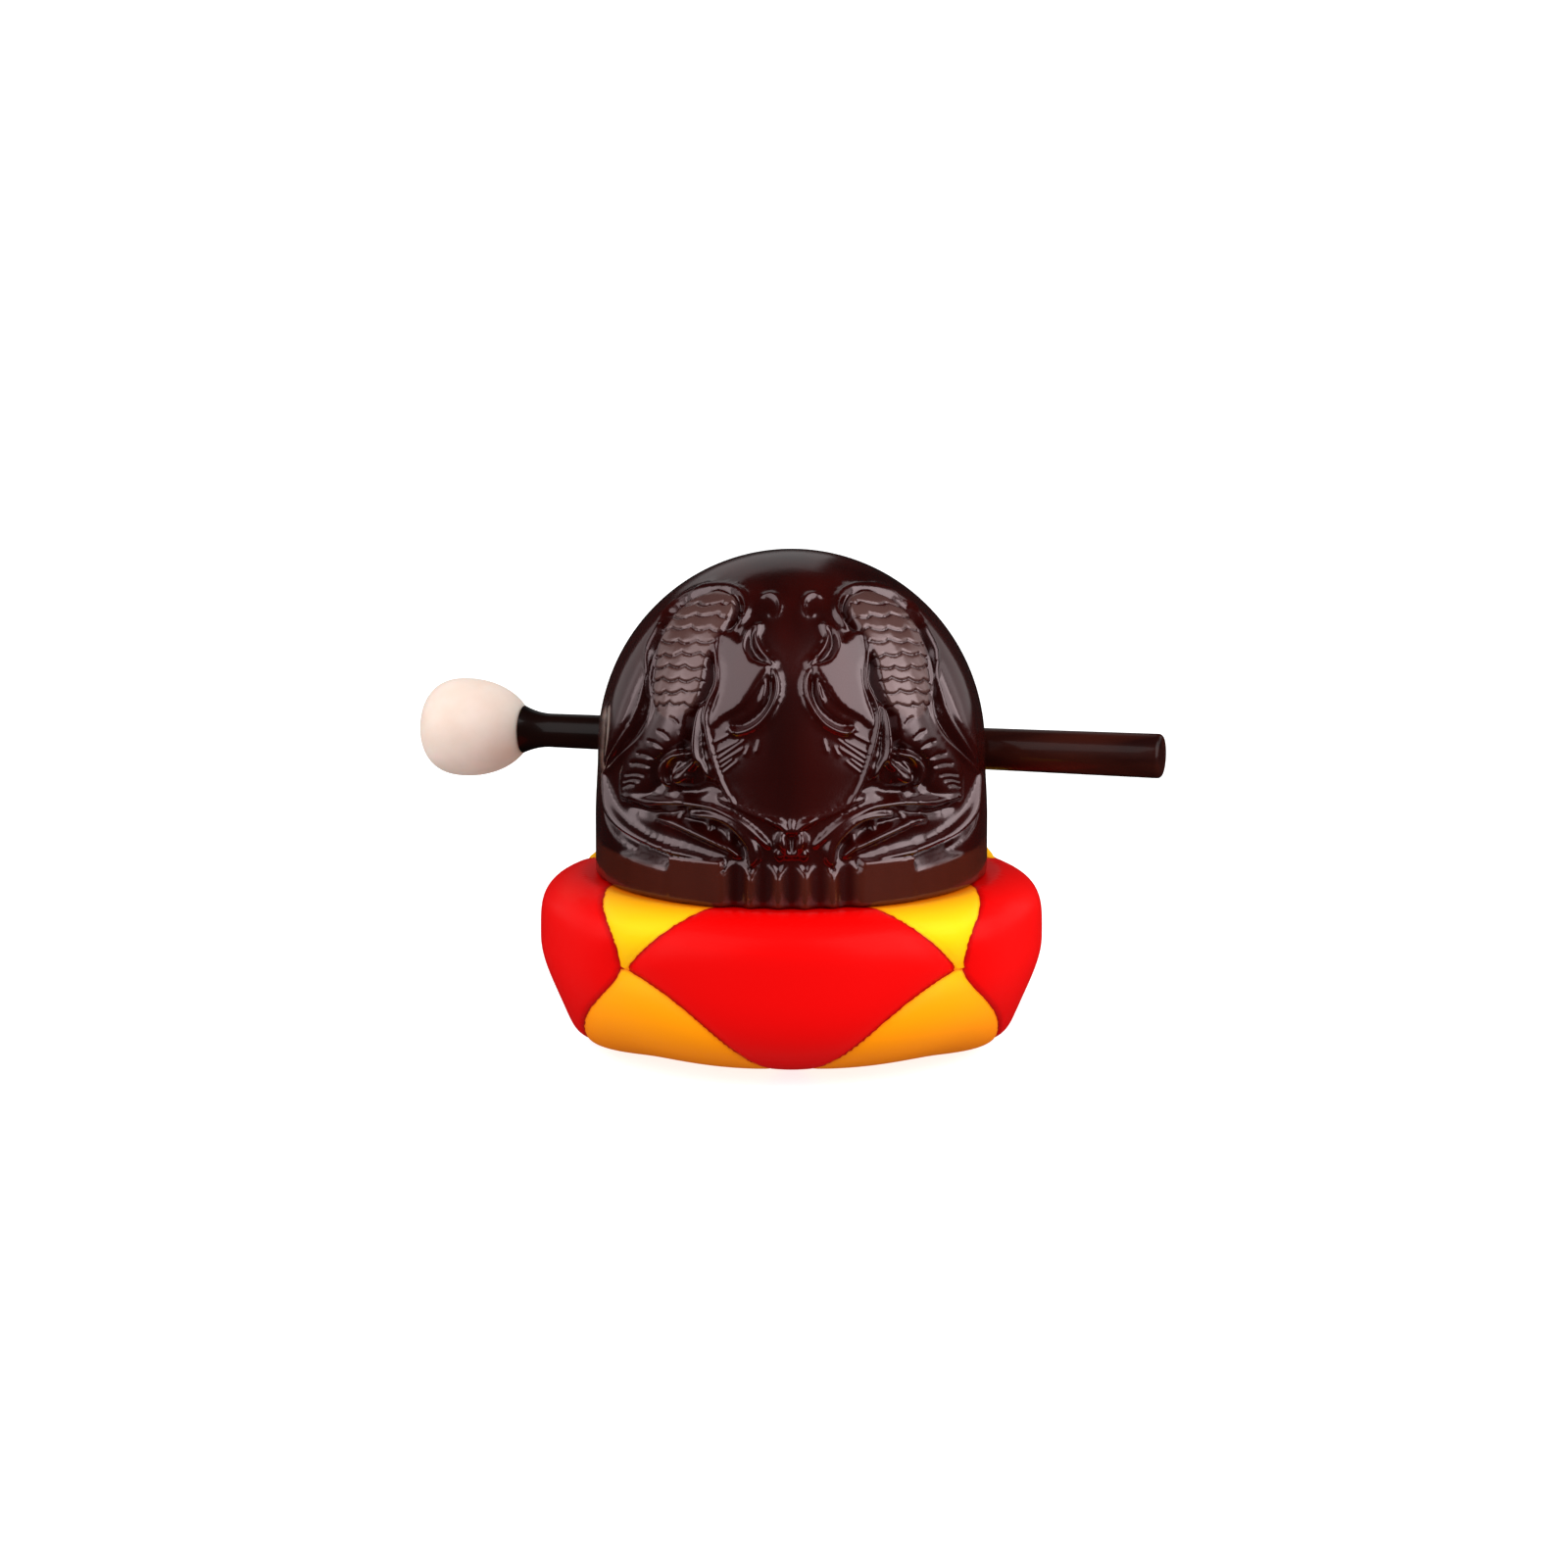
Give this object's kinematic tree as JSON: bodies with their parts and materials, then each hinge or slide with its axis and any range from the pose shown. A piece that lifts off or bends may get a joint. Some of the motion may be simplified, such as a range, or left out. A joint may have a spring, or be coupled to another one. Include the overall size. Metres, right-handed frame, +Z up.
{
  "type": "wooden fish",
  "caption": "Carved wooden fish drum, a hollow dome with a sound slit, on a round patchwork satin cushion, with its beater laid in the slit.",
  "frame": {"origin": "centre of the cushion's flat underside, on the surface that it stands on", "axes": "+Z up, the carved side faces -Y, the sound slit faces +Y, +X points along the beater's plain end"},
  "size_m": [0.1929, 0.1304, 0.1271],
  "materials": {
    "lacquered_wood": "dark red-brown lacquer, glossy",
    "satin_cushion": "red and yellow satin patchwork",
    "dark_stick": "dark lacquered wood",
    "rubber_head": "cream rubber, matt"
  },
  "bodies": {
    "root": {"fish_body": "lacquered_wood", "cushion": "satin_cushion", "mallet_stick": "dark_stick", "mallet_head": "rubber_head"}
  },
  "joints": []
}
